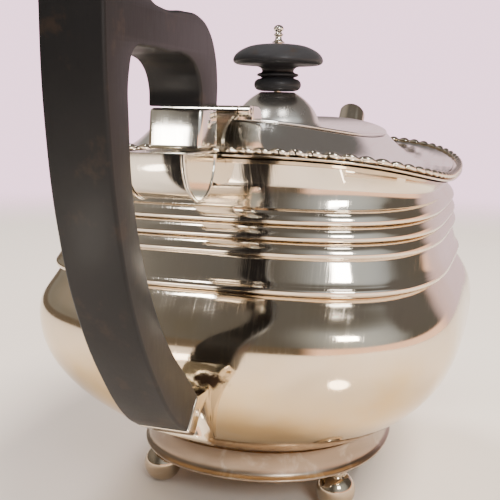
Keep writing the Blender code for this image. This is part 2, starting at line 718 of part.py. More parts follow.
# ---- the whole teapot ---------------------------------------------------------------
def hang_lid():
    """Parent every piece that swings with the lid to an empty on the hinge's axis."""
    pivot = bpy.data.objects.new("lid_pivot", None)
    pivot.location = (HINGE_X, 0.0, HINGE_Z)
    PARTS.objects.link(pivot)
    for name in LID_PIECES:
        piece = bpy.data.objects[name]
        piece.parent = pivot
        piece.matrix_parent_inverse = Matrix.Translation(pivot.location).inverted()


def main():
    pot = pot_volume("pot_clearance", GAP)
    upper_bore = pin_bore("upper_pin_bore", UPPER_PIN)
    lower_bore = pin_bore("lower_pin_bore", LOWER_PIN)
    make_bowl()
    make_girdle()
    make_border()
    make_shoulder()
    make_foot_ring()
    make_ball_feet()
    make_lid_plate()
    make_lid_bezel()
    make_dome()
    make_knob()
    make_finial_bolt()
    make_washer_and_nut()
    make_hinge(hinge_bore())
    make_handle(upper_bore, lower_bore)
    make_upper_socket(upper_bore)
    make_bracket(pot)
    make_lower_socket(pot, lower_bore)
    make_handle_pins()
    make_spout(pot)
    hang_lid()


main()
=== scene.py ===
"""Looks of the silver teapot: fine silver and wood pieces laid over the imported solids."""
import math

import bmesh
import bpy
from mathutils import Matrix, Vector


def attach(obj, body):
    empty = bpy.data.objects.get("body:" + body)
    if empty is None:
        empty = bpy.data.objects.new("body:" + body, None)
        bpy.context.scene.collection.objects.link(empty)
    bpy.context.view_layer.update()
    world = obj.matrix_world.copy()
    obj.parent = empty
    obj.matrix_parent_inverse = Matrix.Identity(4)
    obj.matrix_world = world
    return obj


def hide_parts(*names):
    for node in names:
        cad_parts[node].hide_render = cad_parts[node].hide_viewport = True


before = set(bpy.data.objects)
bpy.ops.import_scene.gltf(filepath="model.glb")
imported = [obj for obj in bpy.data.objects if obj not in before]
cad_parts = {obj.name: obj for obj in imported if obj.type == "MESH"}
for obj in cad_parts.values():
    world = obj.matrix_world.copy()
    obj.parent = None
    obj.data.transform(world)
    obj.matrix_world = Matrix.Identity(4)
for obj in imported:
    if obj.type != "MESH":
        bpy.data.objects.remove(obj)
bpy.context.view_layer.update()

MM = 0.001
RING_STEPS = 208                # points round every fine oblong outline
GAP = 0.3 * MM
WALL = 0.9 * MM

LIP_LENGTH = 127.6 * MM
LIP_WIDTH = 110.0 * MM
LIP_Z = 69.8 * MM
REED_BASE_Z = 78.6 * MM
REED_PITCH = 3.85 * MM
RIM_Z = 94.5 * MM
END_RISE = 7.8 * MM
RISE_POWER = 2.5
LID_LENGTH = 101.2 * MM
LID_WIDTH = 64.0 * MM
LID_SHAPE = 2.4
LID_Z = 105.8 * MM
BODY_SHAPE = 3.6
HINGE = Vector((-60.0, 0.0, 112.5)) * MM
HANDLE_HALF = 6.2 * MM
FLOOR_RADIUS = 0.95
JOINT_MARK = (-0.0680, -0.0040, 0.0492)
FEET_ACROSS = (24.4 * MM, 27.1 * MM)


# ---- camera -------------------------------------------------------------------------
def make_camera():
    data = bpy.data.cameras.new("camera")
    data.sensor_width = 36.0
    data.lens = 59.46
    data.clip_start = 0.01
    item = bpy.data.objects.new("camera", data)
    bpy.context.scene.collection.objects.link(item)
    heading = math.radians(17.85)
    pitch = math.radians(9.676)
    roll = math.radians(0.951)
    level_ahead = Vector((math.cos(heading), math.sin(heading), 0.0))
    straight_up = Vector((0.0, 0.0, 1.0))
    ahead = level_ahead * math.cos(pitch) - straight_up * math.sin(pitch)
    right = Vector((math.sin(heading), -math.cos(heading), 0.0))
    up = level_ahead * math.sin(pitch) + straight_up * math.cos(pitch)
    axis_x = right * math.cos(roll) + up * math.sin(roll)
    axis_y = up * math.cos(roll) - right * math.sin(roll)
    matrix = Matrix((axis_x, axis_y, -ahead)).transposed().to_4x4()
    matrix.translation = Vector((-244.89, -70.98, 112.99)) * MM
    item.matrix_world = matrix
    bpy.context.scene.camera = item


# ---- node materials -----------------------------------------------------------------
class Graph:
    """Small helper that adds nodes to a tree and links plain values or sockets to them."""
    def __init__(self, tree):
        self.tree = tree
        tree.nodes.clear()

    def node(self, kind, settings=None, **sockets):
        made = self.tree.nodes.new(kind)
        for key, value in (settings or {}).items():
            setattr(made, key, value)
        for key, value in sockets.items():
            self.put(made, key.replace("_", " "), value)
        return made

    def put(self, made, key, value):
        socket = made.inputs[key]
        if isinstance(value, bpy.types.NodeSocket):
            self.tree.links.new(value, socket)
        else:
            socket.default_value = value

    def math(self, operation, first, second=0.0, clamp=False):
        made = self.tree.nodes.new("ShaderNodeMath")
        made.operation = operation
        made.use_clamp = clamp
        for index, value in enumerate((first, second)):
            if isinstance(value, bpy.types.NodeSocket):
                self.tree.links.new(value, made.inputs[index])
            else:
                made.inputs[index].default_value = value
        return made.outputs[0]

    def vector(self, operation, first, second, output="Vector"):
        made = self.node("ShaderNodeVectorMath", {"operation": operation})
        self.tree.links.new(first, made.inputs[0])
        made.inputs[1].default_value = second
        return made.outputs[output]

    def ramp(self, value, low, high, start=0.0, end=1.0):
        made = self.node("ShaderNodeMapRange", {"clamp": True, "interpolation_type": "SMOOTHSTEP"})
        wanted = {"Value": value, "From Min": low, "From Max": high, "To Min": start, "To Max": end}
        for key, item in wanted.items():
            self.put(made, key, item)
        return made.outputs[0]

    def mix(self, share, first, second, blend="MIX"):
        made = self.node("ShaderNodeMix", {"data_type": "RGBA", "blend_type": blend})
        for index, value in ((0, share), (6, first), (7, second)):
            if isinstance(value, bpy.types.NodeSocket):
                self.tree.links.new(value, made.inputs[index])
            else:
                made.inputs[index].default_value = value
        return made.outputs[2]

    def noise(self, vector, scale, detail=2.0, roughness=0.5, distortion=0.0):
        made = self.node("ShaderNodeTexNoise", Vector=vector, Scale=scale, Detail=detail,
                         Roughness=roughness, Distortion=distortion)
        return made.outputs[0]

    def mapped(self, vector, scale, turn=(0.0, 0.0, 0.0), shift=(0.0, 0.0, 0.0)):
        made = self.node("ShaderNodeMapping", Vector=vector, Scale=scale, Rotation=turn, Location=shift)
        return made.outputs[0]

    def bump(self, height, distance, strength=1.0, normal=None):
        made = self.node("ShaderNodeBump", Height=height, Distance=distance, Strength=strength)
        if normal is not None:
            self.put(made, "Normal", normal)
        return made.outputs[0]


def new_material(name):
    material = bpy.data.materials.new(name)
    material.use_nodes = True
    graph = Graph(material.node_tree)
    shader = graph.node("ShaderNodeBsdfPrincipled")
    output = graph.node("ShaderNodeOutputMaterial")
    graph.tree.links.new(shader.outputs[0], output.inputs["Surface"])
    place = graph.node("ShaderNodeTexCoord").outputs["Object"]
    return material, graph, shader, place


def scratches(graph, place, turn, length, width, keep):
    """Thin straight hairlines: noise squeezed hard across one direction."""
    stretched = graph.mapped(place, (length, width, length), turn)
    return graph.ramp(graph.noise(stretched, 1.0, 1.0), keep, keep + 0.09)


def soot_mark(graph, place, grain):
    """Dark solder and heat mark on the bowl where the lower socket is joined."""
    squeezed = graph.mapped(graph.vector("SUBTRACT", place, JOINT_MARK), (1.0, 0.7, 1.5))
    away = graph.node("ShaderNodeVectorMath", {"operation": "LENGTH"}, Vector=squeezed).outputs["Value"]
    ragged = graph.math("ADD", away, graph.math("MULTIPLY", graph.noise(place, 420.0, 4.0, 0.7), 0.006))
    return graph.ramp(graph.math("ADD", ragged, graph.math("MULTIPLY", grain, 0.001)), 0.0072, 0.0052)


def silver(name, roughness=0.085, tarnish=0.12, wave=1.0, scratch=1.0, clean=(0.75, 0.675, 0.575),
           yellow=(0.68, 0.50, 0.255), marked=False):
    """Old polished silver: cream white, faint tarnish, hairlines and a soft hand-made waviness; darker
    and yellower low down, partly tarnish and partly painted shade.
    """
    material, graph, shader, place = new_material(name)
    broad = graph.noise(place, 38.0, 3.0, 0.55)
    patches = graph.noise(place, 120.0, 4.0, 0.6, 0.6)
    height = graph.node("ShaderNodeSeparateXYZ", Vector=place).outputs["Z"]
    # Painted shade mixed with tarnish: below 80 mm the silver turns darker and yellower towards the
    # bottom, standing in for the shaded warm floor it reflects.
    low = graph.ramp(height, 0.080, 0.026, 0.0, 0.85)
    tarnish_and_painted_shade = graph.math("MULTIPLY", graph.ramp(broad, 0.38, 0.70), tarnish * 2.2)
    tarnish_and_painted_shade = graph.math("ADD", tarnish_and_painted_shade, low, clamp=True)
    colour = graph.mix(tarnish_and_painted_shade, (*clean, 1.0), (*yellow, 1.0))
    dulled = graph.ramp(patches, 0.53, 0.74, 0.0, 1.6 * tarnish)
    colour = graph.mix(dulled, colour, (0.60, 0.53, 0.45, 1.0))
    shader.inputs["Metallic"].default_value = 1.0
    fine = graph.noise(place, 900.0, 3.0, 0.6)
    rough = graph.math("ADD", graph.math("MULTIPLY", patches, 0.13), roughness - 0.065)
    if marked:
        soot = soot_mark(graph, place, fine)
        colour = graph.mix(soot, colour, (0.035, 0.022, 0.016, 1.0))
        rough = graph.math("ADD", rough, graph.math("MULTIPLY", soot, 0.4))
    graph.put(shader, "Base Color", colour)
    hair = scratches(graph, place, (0.3, 0.2, 0.6), 60.0, 2600.0, 0.60)
    for turn in ((1.1, 0.4, -0.5), (0.1, 1.2, 1.3)):
        hair = graph.math("MAXIMUM", hair, scratches(graph, place, turn, 75.0, 2300.0, 0.62))
    rough = graph.math("ADD", rough, graph.math("MULTIPLY", hair, 0.06 * scratch))
    graph.put(shader, "Roughness", rough)
    swell = graph.noise(graph.mapped(place, (1.0, 1.0, 1.3)), 55.0, 1.0, 0.5)
    normal = graph.bump(swell, 0.00018 * wave)
    grooves = graph.math("SUBTRACT", graph.math("MULTIPLY", fine, 0.5), hair)
    graph.put(shader, "Normal", graph.bump(grooves, 0.0000010 * scratch, 1.0, normal))
    return material


def ebonised(name, grain=(220.0, 220.0, 26.0), tone=1.0):
    """Black stained hardwood with open grain, satin polish and brown rubbed places."""
    material, graph, shader, place = new_material(name)
    pores = graph.noise(graph.mapped(place, grain), 9.0, 4.0, 0.62)
    cloud = graph.noise(place, 70.0, 3.0, 0.6)
    rubbed = graph.ramp(graph.noise(place, 150.0, 4.0, 0.65), 0.56, 0.72)
    dark = graph.mix(cloud, (0.0060 * tone, 0.0061 * tone, 0.0067 * tone, 1.0),
                     (0.0100 * tone, 0.0099 * tone, 0.0106 * tone, 1.0))
    brown = graph.mix(graph.math("MULTIPLY", rubbed, 0.5), dark, (0.030, 0.020, 0.014, 1.0))
    open_pores = graph.ramp(pores, 0.55, 0.72, 0.0, 0.25)
    graph.put(shader, "Base Color", graph.mix(open_pores, brown, (0.005, 0.0042, 0.004, 1.0)))
    graph.put(shader, "Roughness", graph.math("ADD", graph.math("MULTIPLY", pores, 0.10), 0.38))
    shader.inputs["Specular IOR Level"].default_value = 0.17
    shader.inputs["Coat Weight"].default_value = 0.05
    shader.inputs["Coat Roughness"].default_value = 0.22
    normal = graph.bump(pores, 0.000012)
    graph.put(shader, "Normal", graph.bump(cloud, 0.00010, 1.0, normal))
    return material


# ---- meshes -------------------------------------------------------------------------
def make_piece(name, bm, material, body, nodes, sharp=38.0):
    """Finish a bmesh as a smooth-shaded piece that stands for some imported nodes."""
    bmesh.ops.recalc_face_normals(bm, faces=bm.faces)
    mesh = bpy.data.meshes.new(name)
    bm.to_mesh(mesh)
    bm.free()
    return place_piece(name, mesh, material, body, nodes, sharp)


def place_piece(name, mesh, material, body, nodes, sharp=38.0):
    mesh.materials.clear()
    mesh.materials.append(material)
    mesh.shade_smooth()
    mesh.set_sharp_from_angle(angle=math.radians(sharp))
    item = bpy.data.objects.new(name, mesh)
    bpy.context.scene.collection.objects.link(item)
    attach(item, body)
    if nodes:
        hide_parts(*nodes)
    return item


def level(length, width, shape, z, rise=0.0):
    return (length / 2, width / 2, shape, z, rise)


def grown(section, margin, lift=0.0):
    half_length, half_width, shape, z, rise = section
    return (half_length + margin, half_width + margin, shape, z + lift, rise)


def lip_level(inset, z, rise=0.0):
    return level(LIP_LENGTH - 2 * inset, LIP_WIDTH - 2 * inset, BODY_SHAPE, z, rise)


def outline_point(section, angle):
    """A point of a superellipse whose height sweeps up towards both ends."""
    half_length, half_width, shape, z, rise = section
    along = math.cos(angle)
    across = math.sin(angle)
    reach = (abs(along / half_length) ** shape + abs(across / half_width) ** shape) ** (-1 / shape)
    x = reach * along
    return Vector((x, reach * across, z + rise * abs(2 * x / LIP_LENGTH) ** RISE_POWER))


def even_angles(section, steps):
    """Angles that space points evenly along an outline."""
    count = 1440
    lengths = [0.0]
    before = outline_point(section, 0.0)
    for index in range(1, count + 1):
        point = outline_point(section, 2 * math.pi * index / count)
        lengths.append(lengths[-1] + (point - before).length)
        before = point
    angles = []
    index = 0
    for step in range(steps):
        wanted = lengths[-1] * step / steps
        while lengths[index + 1] < wanted:
            index += 1
        part = (wanted - lengths[index]) / (lengths[index + 1] - lengths[index])
        angles.append(2 * math.pi * (index + part) / count)
    return angles


def smooth_rows(rows, steps):
    """Rows of numbers, with more rows added along a Catmull-Rom curve through them."""
    last = len(rows) - 1
    out = []
    for index in range(last):
        four = (rows[max(index - 1, 0)], rows[index], rows[index + 1], rows[min(index + 2, last)])
        for step in range(steps):
            t = step / steps
            row = []
            for a, b, c, d in zip(*four):
                row.append(0.5 * (2 * b + (c - a) * t + (2 * a - 5 * b + 4 * c - d) * t * t
                                  + (3 * b - a - 3 * c + d) * t ** 3))
            out.append(tuple(row))
    out.append(tuple(rows[-1]))
    return out


def arc_rows(centre_out, centre_z, radius_out, radius_z, start, end, steps):
    """(outwards, height) pairs along an elliptic arc; 0 degrees is outwards, 90 is up."""
    rows = []
    for index in range(steps + 1):
        angle = math.radians(start + (end - start) * index / steps)
        rows.append((centre_out + radius_out * math.cos(angle), centre_z + radius_z * math.sin(angle)))
    return rows


def bridge(bm, lower, upper):
    count = len(lower)
    for index in range(count):
        following = (index + 1) % count
        bm.faces.new((lower[index], lower[following], upper[following], upper[index]))


def loft(sections, closed, angles=None):
    bm = bmesh.new()
    if angles is None:
        angles = even_angles(sections[0], RING_STEPS)
    rings = []
    for section in sections:
        rings.append([bm.verts.new(outline_point(section, angle)) for angle in angles])
    for lower, upper in zip(rings, rings[1:]):
        bridge(bm, lower, upper)
    if closed:
        bridge(bm, rings[-1], rings[0])
    else:
        bm.faces.new(rings[0])
        bm.faces.new(rings[-1])
    return bm


def turned(profile, steps, closed, centre=(0.0, 0.0)):
    """Spin a list of (radius, height) pairs in millimetres round an upright axis through centre."""
    bm = bmesh.new()
    rings = []
    for radius, height in profile:
        if radius < 0.001:
            rings.append([bm.verts.new((centre[0], centre[1], height * MM))])
            continue
        ring = []
        for step in range(steps):
            angle = 2 * math.pi * step / steps
            x = centre[0] + radius * MM * math.cos(angle)
            y = centre[1] + radius * MM * math.sin(angle)
            ring.append(bm.verts.new((x, y, height * MM)))
        rings.append(ring)
    pairs = list(zip(rings, rings[1:]))
    if closed:
        pairs.append((rings[-1], rings[0]))
    for lower, upper in pairs:
        if len(lower) == 1 or len(upper) == 1:
            tip = lower[0] if len(lower) == 1 else upper[0]
            ring = upper if len(lower) == 1 else lower
            for index in range(steps):
                bm.faces.new((tip, ring[index], ring[(index + 1) % steps]))
        else:
            bridge(bm, lower, upper)
    return bm


def rod(bm, start, end, radius, sides, dome=0.0):
    """A round bar between two points, with gently domed ends."""
    axis = (end - start).normalized()
    side = axis.orthogonal().normalized()
    other = axis.cross(side)
    rows = [(0.0, -dome), (radius * 0.55, -dome * 0.8), (radius * 0.9, -dome * 0.15)]
    rows.append((radius, dome * 0.3))
    length = (end - start).length
    rows += [(r, length - z) for r, z in rows[::-1]]
    rings = []
    for radius_here, along in rows:
        centre = start + axis * along
        if radius_here == 0.0:
            rings.append([bm.verts.new(centre)])
            continue
        ring = []
        for step in range(sides):
            angle = 2 * math.pi * step / sides
            outwards = side * math.cos(angle) + other * math.sin(angle)
            ring.append(bm.verts.new(centre + outwards * radius_here))
        rings.append(ring)
    for lower, upper in zip(rings, rings[1:]):
        if len(lower) == 1 or len(upper) == 1:
            tip = lower[0] if len(lower) == 1 else upper[0]
            ring = upper if len(lower) == 1 else lower
            for index in range(sides):
                bm.faces.new((tip, ring[index], ring[(index + 1) % sides]))
        else:
            bridge(bm, lower, upper)


def side_shape(name, points, half_width, rounding, resolution=10, smooth=False):
    """A flat outline in the XZ plane in millimetres, thickened across the pot, edges rounded."""
    curve = bpy.data.curves.new(name, "CURVE")
    curve.dimensions = "2D"
    curve.fill_mode = "BOTH"
    curve.extrude = half_width - rounding
    curve.bevel_depth = rounding
    curve.bevel_resolution = 3
    curve.offset = -rounding
    curve.resolution_u = resolution
    spline = curve.splines.new("BEZIER")
    spline.bezier_points.add(len(points) - 1)
    for knot, (x, z, corner) in zip(spline.bezier_points, points):
        knot.co = (x * MM, z * MM, 0.0)
        bend = "AUTO" if smooth and not corner else "VECTOR"
        knot.handle_left_type = bend
        knot.handle_right_type = bend
    spline.use_cyclic_u = True
    holder = bpy.data.objects.new(name, curve)
    bpy.context.scene.collection.objects.link(holder)
    bpy.context.view_layer.update()
    mesh = bpy.data.meshes.new_from_object(holder.evaluated_get(bpy.context.evaluated_depsgraph_get()))
    bpy.data.objects.remove(holder, do_unlink=True)
    mesh.transform(Matrix.Rotation(math.pi / 2, 4, "X"))
    bm = bmesh.new()
    bm.from_mesh(mesh)
    bpy.data.meshes.remove(mesh)
    bmesh.ops.remove_doubles(bm, verts=bm.verts, dist=0.000002)
    return bm


def sharp(pairs):
    return [(x, z, True) for x, z in pairs]


def wedge(near, far):
    """A tapered block between two upright edges; each end is (x, z, half width) in millimetres."""
    bm = bmesh.new()
    rings = []
    for low, high in (near, far):
        ring = []
        for (x, z, half), side in ((low, -1), (low, 1), (high, 1), (high, -1)):
            ring.append(bm.verts.new((x * MM, side * half * MM, z * MM)))
        rings.append(ring)
    bridge(bm, *rings)
    bm.faces.new(rings[0])
    bm.faces.new(rings[1])
    bmesh.ops.recalc_face_normals(bm, faces=bm.faces)
    return bm


def round_edges(bm, width, segments=3, angle=30.0):
    edges = [edge for edge in bm.edges if len(edge.link_faces) == 2
             and edge.calc_face_angle() > math.radians(angle)]
    bmesh.ops.bevel(bm, geom=edges, offset=width, segments=segments, affect="EDGES", profile=0.5,
                    clamp_overlap=True)
    return bm


def cut(item, cutter_bm, operation="DIFFERENCE"):
    """Apply one Boolean to a piece and throw the cutter away."""
    mesh = bpy.data.meshes.new("cutter")
    bmesh.ops.recalc_face_normals(cutter_bm, faces=cutter_bm.faces)
    cutter_bm.to_mesh(mesh)
    cutter_bm.free()
    cutter = bpy.data.objects.new("cutter", mesh)
    bpy.context.scene.collection.objects.link(cutter)
    modifier = item.modifiers.new("cut", "BOOLEAN")
    modifier.operation = operation
    modifier.object = cutter
    modifier.solver = "EXACT"
    bpy.context.view_layer.update()
    result = bpy.data.meshes.new_from_object(item.evaluated_get(bpy.context.evaluated_depsgraph_get()))
    item.modifiers.clear()
    old = item.data
    item.data = result
    bpy.data.meshes.remove(old)
    bpy.data.objects.remove(cutter, do_unlink=True)
    bpy.data.meshes.remove(mesh)


# ---- body ---------------------------------------------------------------------------
# Half length, half width, squareness of the outline and height of the bowl, in millimetres.
BOWL_ROWS = (
    (38.36, 32.43, 2.2, 20.4), (42.81, 36.47, 2.2, 21.5), (48.77, 41.77, 2.35, 24.5),
    (56.72, 48.67, 2.6, 30.5), (62.88, 54.26, 2.9, 37.5), (66.99, 58.01, 3.2, 45.5),
    (68.50, 59.50, 3.4, 53.5), (67.47, 58.55, 3.6, 61.0), (63.84, 54.98, 3.6, 67.3),
    (62.20, 53.43, 3.6, 69.5),
)


def bowl_sections(margin=0.0):
    rows = smooth_rows([(a * MM, b * MM, n, z * MM, 0.0) for a, b, n, z in BOWL_ROWS], 7)
    return [grown(row, margin) for row in rows]


def make_bowl(material):
    """Open-topped shell with a floor, and a cluster of strainer holes behind the spout."""
    outer = bowl_sections()
    inner = []
    for row in outer:
        above_floor = (row[3] - outer[0][3]) / (8 * MM)
        inner.append(grown(row, -WALL, WALL * max(0.0, 1.0 - above_floor)))
    piece = make_piece("bowl_fine", loft(outer + inner[::-1], closed=False), material, "pot", ["bowl"])
    holes = bmesh.new()
    pitch_y = 4.6
    pitch_z = 4.0
    middle_z = 47.0
    for row, count in ((-2, 1), (-1, 4), (0, 3), (1, 4), (2, 1)):
        for place in range(count):
            y = (place - (count - 1) / 2) * pitch_y * MM
            z = (middle_z + row * pitch_z) * MM
            rod(holes, Vector((0.060, y, z)), Vector((0.072, y, z)), 1.5 * MM, 20)
    cut(piece, holes)


def girdle_sections():
    """Rolled lip, sloping band, three reeds and the concave neck, from the bottom up.

    Rows are (outwards, height) in millimetres, and the neck's third number is its share of the
    rise towards the two ends.
    """
    rows = [(-1.9, 0.25)] + arc_rows(-1.25, 1.25, 1.25, 1.25, -100.0, 50.0, 14)
    rows = [(out, LIP_Z / MM + z) for out, z in rows]
    rows += smooth_rows([(-0.62, 72.4), (-1.15, 73.4), (-1.9, 75.6), (-2.75, 78.2)], 4)
    face = [(0.0, 0.08), (0.75, 0.12), (1.35, 0.42), (1.55, 0.95), (1.50, 1.50), (1.30, 2.15),
            (0.95, 2.8), (0.50, 3.4), (0.05, 3.75)]
    for reed in range(3):
        base = REED_BASE_Z / MM + reed * REED_PITCH / MM
        rows += [(out - 3.05 - 0.45 * reed, base + up) for out, up in smooth_rows(face, 3)]
    sections = [lip_level(-out * MM, z * MM) for out, z in rows]
    neck = [
        (-4.0, 90.2, 0.0), (-4.45, 90.7, 0.16), (-4.75, 91.2, 0.34), (-4.85, 91.9, 0.54),
        (-4.55, 92.7, 0.74), (-3.8, 93.4, 0.88), (-2.8, 93.9, 0.96), (-1.7, 94.2, 1.0),
    ]
    for out, z, rise in smooth_rows(neck, 5):
        sections.append(lip_level(-out * MM, z * MM, rise * END_RISE))
    return sections


def make_girdle(material):
    lining = [
        lip_level(1.7 * MM + WALL, RIM_Z - GAP, END_RISE),
        lip_level(4.2 * MM + WALL, RIM_Z - 2.6 * MM, 0.5 * END_RISE),
        lip_level(4.2 * MM + WALL, REED_BASE_Z, 0.0),
        lip_level(2.9 * MM + WALL, LIP_Z, 0.0),
    ]
    bm = loft(girdle_sections() + lining, closed=True)
    return make_piece("girdle_fine", bm, material, "pot", ["reeded_girdle"], sharp=50.0)


def make_border(material):
    """Plain moulding with a row of slanting oval lobes above it, round the whole rim."""
    lobes = 98
    lobe_points = 10
    base = lip_level(0.7 * MM, RIM_Z, END_RISE)
    angles = even_angles(base, lobes * lobe_points)
    plain = [(-2.4, 0.0), (-0.1, 0.0)] + arc_rows(0.0, 0.28, 0.42, 0.26, -80.0, 80.0, 6)
    bead = 14
    bm = bmesh.new()
    rings = []
    for out, z in plain:
        section = lip_level((0.7 - out) * MM, RIM_Z + z * MM, END_RISE)
        rings.append([bm.verts.new(outline_point(section, angle)) for angle in angles])
    for row in range(bead + 1):
        share = row / bead
        turn = math.radians(-62.0 + 215.0 * share)
        ring = []
        for index, angle in enumerate(angles):
            phase = math.pi * (index / lobe_points + 0.40 * (share - 0.5))
            swell = abs(math.sin(phase)) ** 0.6
            ends = math.sin(math.pi * share) ** 0.4
            radius = 0.32 + 1.06 * swell * ends
            out = -0.80 + radius * math.cos(turn)
            z = 1.38 + radius * 0.88 * math.sin(turn)
            section = lip_level((0.7 - out) * MM, RIM_Z + z * MM, END_RISE)
            ring.append(bm.verts.new(outline_point(section, angle)))
        rings.append(ring)
    section = lip_level(3.1 * MM, RIM_Z + 1.5 * MM, END_RISE)
    rings.append([bm.verts.new(outline_point(section, angle)) for angle in angles])
    for index, ring in enumerate(rings):
        bridge(bm, ring, rings[(index + 1) % len(rings)])
    return make_piece("gadroon_fine", bm, material, "pot", ["gadroon_border"], sharp=60.0)


def shoulder_sections():
    foot = lip_level(3.2 * MM, RIM_Z + 1.7 * MM, END_RISE)
    seam = level(LID_LENGTH + 0.6 * MM, LID_WIDTH + 0.6 * MM, LID_SHAPE, LID_Z - GAP, END_RISE)
    rows = []
    hollow = ((0.0, 0.0), (0.22, 0.03), (0.46, 0.14), (0.68, 0.36), (0.86, 0.66), (1.0, 1.0))
    for inwards, upwards in hollow:
        mixed = [foot[i] + (seam[i] - foot[i]) * share
                 for i, share in enumerate((inwards, inwards, inwards, upwards, upwards))]
        rows.append(tuple(mixed))
    return smooth_rows(rows, 6)


def make_shoulder(material):
    top = shoulder_sections()
    lip = grown(top[-1], -2.4 * MM)
    under = [grown(row, -0.4 * MM, -WALL) for row in top[::-1]]
    rows = top + [grown(top[-1], -0.25 * MM, 0.12 * MM), lip, grown(lip, 0.0, -WALL)] + under
    return make_piece("shoulder_fine", loft(rows, closed=True), material, "pot", ["shoulder_collar"])


def make_foot_ring(material):
    rows = [(-7.6, 12.5), (-0.35, 12.5)] + arc_rows(-0.45, 12.95, 0.45, 0.45, -80.0, 70.0, 6)
    rows += smooth_rows([(-0.75, 13.65), (-1.25, 14.3), (-1.6, 15.8), (-1.65, 17.8), (-1.35, 19.6),
                         (-0.9, 20.7)], 4)
    rows += [(-1.6, 20.95), (-2.9, 20.1), (-2.6, 13.7), (-7.6, 13.5)]
    sections = [level((87.0 + 2 * out) * MM, (75.8 + 2 * out) * MM, 2.2, z * MM) for out, z in rows]
    return make_piece("foot_ring_fine", loft(sections, closed=True), material, "pot", ["foot_ring"])


def make_ball_feet(material):
    """Balls with a flat rubbed away below and an uneven collar of solder against the foot ring."""
    radius = 5.64
    centre_z = 5.49
    solder_z = 10.1
    for label, side_x, side_y in (("handle_left", -1, 1), ("handle_right", -1, -1),
                                  ("spout_left", 1, 1), ("spout_right", 1, -1)):
        profile = [(0.0, 12.2), (3.1, 12.15), (3.35, 11.6), (3.2, 11.0), (3.05, 10.4), (3.15, 10.2)]
        profile += [(radius * math.cos(math.radians(a)), centre_z + radius * math.sin(math.radians(a)))
                    for a in range(54, -77, -5)]
        profile += [(1.3, 0.0), (0.0, 0.0)]
        centre = (side_x * FEET_ACROSS[0], side_y * FEET_ACROSS[1])
        bm = turned(profile, 56, False, centre)
        for vert in bm.verts:
            if vert.co.z > solder_z * MM:
                offset = Vector((vert.co.x - centre[0], vert.co.y - centre[1], 0.0))
                wobble = math.sin(3 * math.atan2(offset.y, offset.x) + 1.7 * side_x + side_y)
                vert.co += offset * 0.10 * wobble
        make_piece("ball_" + label, bm, material, "pot", ["ball_foot_" + label])


# ---- lid ----------------------------------------------------------------------------
def make_lid_plate(material):
    """Oblong plate with a hole under the dome, a rounded edge and a steam vent."""
    plate = level(LID_LENGTH, LID_WIDTH, LID_SHAPE, LID_Z, END_RISE)
    hub = (8.0 * MM, 8.0 * MM, 2.0, LID_Z, END_RISE)
    shares = [0.0, 0.15, 0.30, 0.46, 0.62, 0.78, 0.90, 0.97, 0.99]
    sections = [tuple(hub[i] + (plate[i] - hub[i]) * share for i in range(5)) for share in shares]
    arc = arc_rows(-0.32, 0.4, 0.32, 0.4, -90.0, 90.0, 8)
    edge = [grown(plate, out * MM, z * MM) for out, z in arc]
    top = [grown(row, 0.0, 0.8 * MM) for row in sections[::-1]]
    bm = loft(sections + edge + top, closed=True, angles=even_angles(plate, RING_STEPS))
    piece = make_piece("lid_plate_fine", bm, material, "lid", ["lid_plate"])
    vent = bmesh.new()
    rod(vent, Vector((0.027, 0.0, 0.100)), Vector((0.027, 0.0, 0.114)), 1.0 * MM, 24)
    cut(piece, vent)


def make_lid_bezel(material):
    ring = level(LID_LENGTH - 5.4 * MM, LID_WIDTH - 5.4 * MM, LID_SHAPE, LID_Z - GAP, END_RISE)
    rows = [grown(ring, -WALL), ring, grown(ring, -0.3 * MM, -4.3 * MM)]
    rows += [grown(ring, -0.45 * MM, -4.6 * MM), grown(ring, -0.15 * MM - WALL, -4.6 * MM)]
    rows.append(grown(ring, -0.3 * MM - WALL, -4.3 * MM))
    make_piece("lid_bezel_fine", loft(rows, closed=True), material, "lid", ["lid_bezel"])


def make_dome(material):
    outside = smooth_rows([(5.1, 118.2), (6.4, 117.5), (8.6, 115.9), (10.8, 113.6), (12.3, 111.0),
                           (13.1, 109.0), (14.2, 107.8), (15.4, 107.35)], 6)
    inside = smooth_rows([(12.6, 107.6), (11.9, 109.0), (11.2, 110.8), (9.9, 113.1), (7.9, 115.1),
                          (5.9, 116.6), (4.9, 117.3)], 3)
    profile = [(1.6, 118.2), (4.9, 118.2)] + outside
    profile += [(15.6, 107.2), (14.4, 107.2)] + inside + [(1.6, 117.3)]
    make_piece("dome_fine", turned(profile, 112, True), material, "lid", ["lid_dome"])


def make_knob(material):
    bore = 1.45
    cap = smooth_rows([(bore, 132.45), (4.0, 132.35), (8.0, 131.8), (11.0, 130.6), (12.8, 129.2),
                       (13.5, 127.9), (13.4, 127.0), (12.6, 126.4), (11.0, 126.15), (8.0, 126.0),
                       (5.8, 125.6), (4.9, 124.9), (4.8, 124.2)], 6)
    ring = arc_rows(5.2, 123.3, 1.1, 0.55, 85.0, -85.0, 10)
    base = arc_rows(5.4, 120.4, 1.7, 1.75, 85.0, -80.0, 16)
    profile = cap + ring + [(4.85, 122.45)] + base + [(4.9, 118.5), (bore, 118.5)]
    make_piece("knob_fine", turned(profile, 112, True), material, "lid", ["knob"])


def make_finial(material):
    tip = arc_rows(0.0, 136.9, 1.5, 1.1, 90.0, -48.0, 14)
    profile = tip + [(0.92, 135.8)] + arc_rows(1.0, 135.1, 0.42, 0.35, 80.0, -80.0, 8) + [(0.95, 134.5)]
    profile += smooth_rows([(0.95, 134.4), (1.05, 133.8), (1.35, 133.3), (1.85, 133.05)], 4)
    profile += [(1.9, 132.9), (1.85, 132.75), (1.1, 132.75), (1.1, 111.75), (0.95, 111.6), (0.0, 111.6)]
    make_piece("finial_fine", turned(profile, 48, False), material, "lid", ["finial_bolt"])


